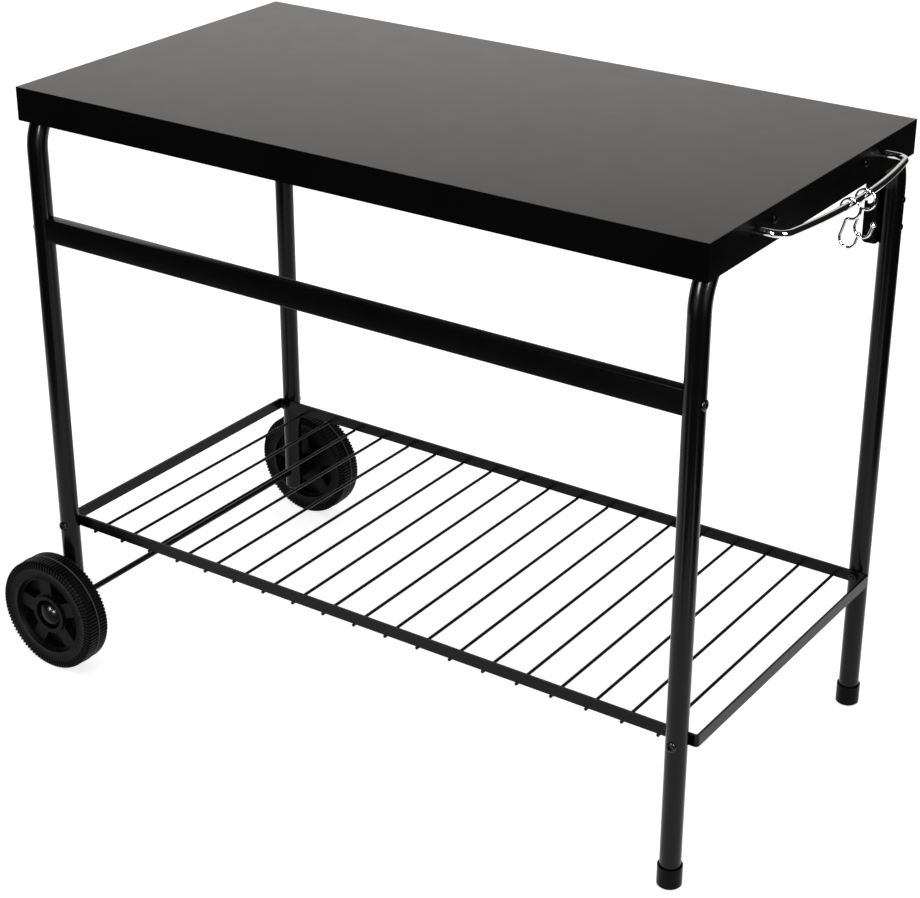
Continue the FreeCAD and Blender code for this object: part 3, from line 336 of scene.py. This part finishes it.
def make_rail():
    low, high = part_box("front_rail")
    centre = (low + high) / 2
    left_low, left_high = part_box("left_end_frame")
    right_low, right_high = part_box("right_end_frame")
    tube = (left_high.x - left_low.x) / 2
    left_leg = (left_low.x + left_high.x) / 2
    right_leg = (right_low.x + right_high.x) / 2

    def left_end(across):
        return left_leg + math.sqrt(tube ** 2 - across ** 2) + RAIL_GAP

    def right_end(across):
        return right_leg - math.sqrt(tube ** 2 - across ** 2) - RAIL_GAP

    inner = RAIL_DEPTH - 2 * RAIL_WALL, RAIL_HEIGHT - 2 * RAIL_WALL, RAIL_GAP
    outer = RAIL_DEPTH, RAIL_HEIGHT, RAIL_CORNER
    # Along the outside, back along the inside, and closed on itself
    around = ((outer, left_end), (outer, right_end), (inner, right_end), (inner, left_end), (outer, left_end))
    rings = [upright_ring(centre, *section, end) for section, end in around]
    points, faces = loft(rings)
    paint = (SLOT_MATERIALS["frame_paint"],)
    rail = piece("rail_coped", points, faces[1:-1], paint, "table", "frame_paint")
    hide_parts("front_rail")
    for node in ("rail_insert_left", "rail_insert_right"):
        low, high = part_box(node)
        rings = [upright_ring(centre, *inner, lambda across, x=x: x) for x in (low.x, high.x)]
        plastic = (SLOT_MATERIALS["cap_plastic"],)
        insert = piece(node + "_slim", *loft(rings), plastic, "table", "cap_plastic")
        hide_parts(node)


make_rail()

# The opener's plate runs on upwards behind the handle: the same folded section
OPENER_TOP = 0.727
OPENER_THICK = 0.003


def make_opener_top():
    low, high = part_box("bottle_opener")
    fold = high.x - OPENER_THICK
    inside = low.y + OPENER_THICK
    section = (
        (low.x, low.y), (high.x, low.y), (high.x, high.y),
        (fold, high.y), (fold, inside), (low.x, inside),
    )
    rings = [[(x, y, z) for x, y in section] for z in (high.z - OPENER_THICK, OPENER_TOP)]
    piece("opener_top", *loft(rings), (SLOT_MATERIALS["frame_paint"],), "table", "frame_paint")


make_opener_top()

# The hub caps: a round dome on a short neck
CAP_NECK = 0.004
CAP_RISE = 0.0031
CAP_SIDES = 64
CAP_STEPS = 12


def make_caps():
    turns = [2 * math.pi * side / CAP_SIDES for side in range(CAP_SIDES)]
    for node, outward in (("hub_cap_front", -1), ("hub_cap_rear", 1)):
        low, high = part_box(node)
        middle = (low + high) / 2
        radius = (high.x - low.x) / 2
        inner = high.y if outward < 0 else low.y
        rise = high.y - low.y + CAP_RISE - CAP_NECK
        sphere = (radius ** 2 + rise ** 2) / (2 * rise)
        edge = math.asin(radius / sphere)
        profile = [(radius, 0)]
        for step in range(CAP_STEPS):
            angle = edge * (1 - step / CAP_STEPS)
            profile.append((sphere * math.sin(angle), CAP_NECK + rise - sphere * (1 - math.cos(angle))))
        rings = []
        for r, h in profile:
            y = inner + outward * h
            rings.append([(middle.x + r * math.cos(a), y, middle.z + r * math.sin(a)) for a in turns])
        plastic = (SLOT_MATERIALS["cap_plastic"],)
        cap = piece(node + "_domed", *loft(rings), plastic, "table", "cap_plastic")
        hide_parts(node)


make_caps()

# Screws: a domed head with a hexagon socket on a plain shank
HEAD_SIDES = 48
DOME_STEPS = 6
RIM_SHARE = 0.2
FLAT_SHARE = 0.55
SOCKET_SHARE = 0.42
SOCKET_DEPTH_SHARE = 0.6
TIP_SHARE = 0.8
TIP_TAPER = 0.4
X, Y, Z = range(3)


def screw_rings(head_radius, head_height, shank_radius, length):
    """Rings of a screw along +Z, with the top of its head at the origin."""
    tip = -length
    seat = -head_height
    profile = [(shank_radius * TIP_SHARE, tip), (shank_radius, tip + shank_radius * TIP_TAPER)]
    profile += [(shank_radius, seat), (head_radius, seat)]
    flat = head_radius * FLAT_SHARE
    rim = seat + head_height * RIM_SHARE
    for step in range(DOME_STEPS + 1):
        angle = math.radians(90 * step / DOME_STEPS)
        profile.append((flat + (head_radius - flat) * math.cos(angle), rim - rim * math.sin(angle)))
    turns = [2 * math.pi * side / HEAD_SIDES for side in range(HEAD_SIDES)]
    rings = [[(radius * math.cos(a), radius * math.sin(a), z) for a in turns] for radius, z in profile]
    socket = head_radius * SOCKET_SHARE
    sixth = math.pi / 3
    hexagon = [socket / math.cos(a % sixth - sixth / 2) for a in turns]
    for z in (0, -head_height * SOCKET_DEPTH_SHARE):
        rings.append([(r * math.cos(a), r * math.sin(a), z) for r, a in zip(hexagon, turns)])
    return rings


def make_screws(node, axis, ends, pair_axis, head_height, shank_radius, length, material, sunk=0.0):
    """Screws along an axis, with heads at the ends named, alone or as a pair, where the node's box says.

    Heads on a round leg are sunk a little, as they lie in its dimpled wall.
    """
    low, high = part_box(node)
    across = ({X, Y, Z} - {axis, pair_axis}).pop()
    head_radius = (high[across] - low[across]) / 2
    points, faces = [], []
    for end in ends:
        for side in (-1, 1) if pair_axis is not None else (0,):
            place = (low + high) / 2
            place[axis] = high[axis] - sunk if end > 0 else low[axis] + sunk
            if side:
                place[pair_axis] = high[pair_axis] - head_radius if side > 0 else low[pair_axis] + head_radius
            outward = Vector((0, 0, 0))
            outward[axis] = end
            stand = Matrix.Translation(place) @ outward.to_track_quat("Z", "Y").to_matrix().to_4x4()
            new_points, new_faces = loft(screw_rings(head_radius, head_height, shank_radius, length))
            faces += [tuple(i + len(points) for i in face) for face in new_faces]
            points += [stand @ Vector(point) for point in new_points]
    screws = piece(node + "_socketed", points, faces, (material,), "table", "screw_steel")
    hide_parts(node)


make_screws("pan_screws", X, (-1, 1), Y, head_height=0.0036, shank_radius=0.0025, length=0.0156,
            material=SCREW_PAINT)
make_screws("rail_screws", X, (-1, 1), None, head_height=0.0022, shank_radius=0.003, length=0.0424,
            material=SCREW_STEEL, sunk=0.003)
make_screws("shelf_screws", Y, (-1, 1), X, head_height=0.0035, shank_radius=0.003, length=0.0379,
            material=SCREW_STEEL, sunk=0.0015)
make_screws("opener_screws", X, (1,), Z, head_height=0.0018, shank_radius=0.002, length=0.0346,
            material=SCREW_PAINT, sunk=0.0012)
make_screws("handle_screws", X, (-1,), Y, head_height=0.0024, shank_radius=0.002, length=0.0413,
            material=SCREW_PAINT)


# Floor, light and camera

def seen_white(name, pale, glow):
    """A pale matt surface that the camera and mirrors see as white, with the object's shadow on it."""
    material = bpy.data.materials.new(name)
    material.use_nodes = True
    tree = Tree(material.node_tree)
    tree.tree.nodes.clear()
    matt = tree.add("ShaderNodeBsdfDiffuse", Color=(pale, pale, pale, 1))
    light = tree.add("ShaderNodeEmission")
    tree.join(tree.math("MULTIPLY", tree.seen(), glow), light, "Strength")
    both = tree.add("ShaderNodeAddShader")
    tree.join(matt.outputs["BSDF"], both, 0)
    tree.join(light.outputs["Emission"], both, 1)
    tree.join(both.outputs["Shader"], tree.add("ShaderNodeOutputMaterial"), "Surface")
    return material


FLOOR_SIZE = 40.0
half = FLOOR_SIZE / 2
floor_corners = [(-half, -half, 0), (half, -half, 0), (half, half, 0), (-half, half, 0)]
floor_mesh = bpy.data.meshes.new("floor")
floor_mesh.from_pydata(floor_corners, [], [(0, 1, 2, 3)])
floor_mesh.materials.append(seen_white("floor_white", pale=0.5, glow=0.78))
floor = bpy.data.objects.new("floor", floor_mesh)
scene.collection.objects.link(floor)


def surround(level):
    """An even pale light, white where it is seen."""
    world = bpy.data.worlds.new("surround")
    scene.world = world
    world.use_nodes = True
    tree = Tree(world.node_tree)
    background = world.node_tree.nodes["Background"]
    tree.join(tree.spread(tree.seen(), (0, 1), (level, 1)), background, "Strength")
    background.inputs["Color"].default_value = (1, 1, 1, 1)


# Dark studio walls round the white floor, with a pale soft wall behind on the left. Only gloss shows them.
STUDIO_LOW = (-1.5, -0.95, 0.0)
STUDIO_HIGH = (1.1, 1.6, 2.4)
STUDIO_EYE = (0.0, 0.0, 0.77)
WALL_DARK = 0.012
WALL_PALE = 1.1
WALL_WARM = (1, 0.965, 0.93, 1)
# How far round to the left the pale wall begins and is full, and how high it fades out, seen from the eye
PALE_BEGINS = 0.45
PALE_FULL = 0.9
LEFTMOST = 1.41
PALE_FADE = (0.55, 0.75)


def studio_walls():
    (x0, y0, z0), (x1, y1, z1) = STUDIO_LOW, STUDIO_HIGH
    corners = [(x, y, z) for z in (z0, z1) for x, y in ((x0, y0), (x1, y0), (x1, y1), (x0, y1))]
    faces = [(i, (i + 1) % 4, (i + 1) % 4 + 4, i + 4) for i in range(4)] + [(4, 5, 6, 7)]
    mesh = bpy.data.meshes.new("studio_walls")
    mesh.from_pydata(corners, [], faces)
    material = bpy.data.materials.new("studio_walls")
    material.use_nodes = True
    mesh.materials.append(material)
    tree = Tree(material.node_tree)
    tree.tree.nodes.clear()
    away = tree.add("ShaderNodeVectorMath")
    away.operation = "SUBTRACT"
    away.inputs[1].default_value = STUDIO_EYE
    tree.join(tree.add("ShaderNodeNewGeometry").outputs["Position"], away, 0)
    direction = tree.add("ShaderNodeVectorMath")
    direction.operation = "NORMALIZE"
    tree.join(away.outputs["Vector"], direction, 0)
    split = tree.add("ShaderNodeSeparateXYZ")
    tree.join(direction.outputs["Vector"], split, "Vector")
    x, y, z = (split.outputs[name] for name in "XYZ")
    leftward = tree.math("SUBTRACT", y, x)
    begun = tree.spread(leftward, (PALE_BEGINS, PALE_FULL), (0, WALL_PALE), smooth=True)
    behind = tree.math("MULTIPLY", begun, tree.spread(leftward, (PALE_FULL, LEFTMOST), (0.75, 1)))
    pale = tree.math("MULTIPLY", behind, tree.spread(z, PALE_FADE, (1, 0), smooth=True))
    glow = tree.add("ShaderNodeEmission", Color=WALL_WARM)
    tree.join(tree.math("MAXIMUM", pale, WALL_DARK), glow, "Strength")
    tree.join(glow.outputs["Emission"], tree.add("ShaderNodeOutputMaterial"), "Surface")
    walls = bpy.data.objects.new("studio_walls", mesh)
    scene.collection.objects.link(walls)
    walls.visible_camera = False
    walls.visible_diffuse = False
    walls.visible_shadow = False


def lamp(name, place, target, width, height, power):
    """A rectangular lamp that faces a point."""
    light = bpy.data.lights.new(name, "AREA")
    light.shape = "RECTANGLE"
    light.size = width
    light.size_y = height
    light.energy = power
    thing = bpy.data.objects.new(name, light)
    thing.location = place
    thing.rotation_euler = (Vector(target) - Vector(place)).to_track_quat("-Z", "Y").to_euler()
    thing.visible_camera = False
    scene.collection.objects.link(thing)
    return thing


def glint(takers, lamps):
    """Lamps that only glint in the gloss of what the collection lets in."""
    for light in lamps:
        light.visible_diffuse = False
        light.light_linking.receiver_collection = takers


surround(0.65)
studio_walls()
lamp("top_softbox", (0.3, -0.4, 3.0), (0, 0, 0.5), width=2.0, height=2.0, power=45)

# Upright strips, flagged off the top: two high ones for the bends and the plating, two low ones for the legs
flagged = bpy.data.collections.new("flagged")
flagged.objects.link(bpy.data.objects["pan_shell"])
flagged.collection_objects[0].light_linking.link_state = "EXCLUDE"
glint(flagged, (
    lamp("front_strip", (0.28, -0.92, 1.0), (0.1, -0.2, 0.75), width=0.2, height=0.7, power=27),
    lamp("right_strip", (1.07, -0.4, 1.0), (0.4, -0.2, 0.75), width=0.2, height=0.7, power=27),
    lamp("front_low_strip", (0.28, -0.92, 0.14), (0.42, -0.23, 0.4), width=0.2, height=0.24, power=0.3),
    lamp("right_low_strip", (1.07, -0.4, 0.14), (0.45, -0.23, 0.4), width=0.2, height=0.24, power=0.3),
))
# Two small lamps near the floor for the near hub cap
cap_alone = bpy.data.collections.new("cap_alone")
cap_alone.objects.link(bpy.data.objects["hub_cap_front_domed"])
glint(cap_alone, (
    lamp("cap_lamp_left", (-0.636, -0.845, 0.192), wheel_mid, width=0.08, height=0.08, power=7),
    lamp("cap_lamp_right", (-0.38, -0.881, 0.113), wheel_mid, width=0.08, height=0.08, power=7),
))

# The camera, fitted to the corners of the top and to the straight tubes
CAMERA_PLACE = Vector((1.3791, -2.0055, 1.5098))
CAMERA_FORWARD = Vector((-0.50832, 0.74216, -0.43681)).normalized()
CAMERA_ROLL = math.radians(0.088)
IMAGE_WIDTH = 920
FOCAL_PIXELS = 2169.5
SENSOR_WIDTH = 36.0
camera_data = bpy.data.cameras.new("camera")
camera_data.sensor_fit = "HORIZONTAL"
camera_data.sensor_width = SENSOR_WIDTH
camera_data.lens = FOCAL_PIXELS * SENSOR_WIDTH / IMAGE_WIDTH
camera_data.clip_end = 100
camera = bpy.data.objects.new("camera", camera_data)
turn = CAMERA_FORWARD.to_track_quat("-Z", "Y").to_matrix() @ Matrix.Rotation(CAMERA_ROLL, 3, "Z")
camera.matrix_world = Matrix.Translation(CAMERA_PLACE) @ turn.to_4x4()
scene.collection.objects.link(camera)
scene.camera = camera

scene.view_settings.view_transform = "Standard"
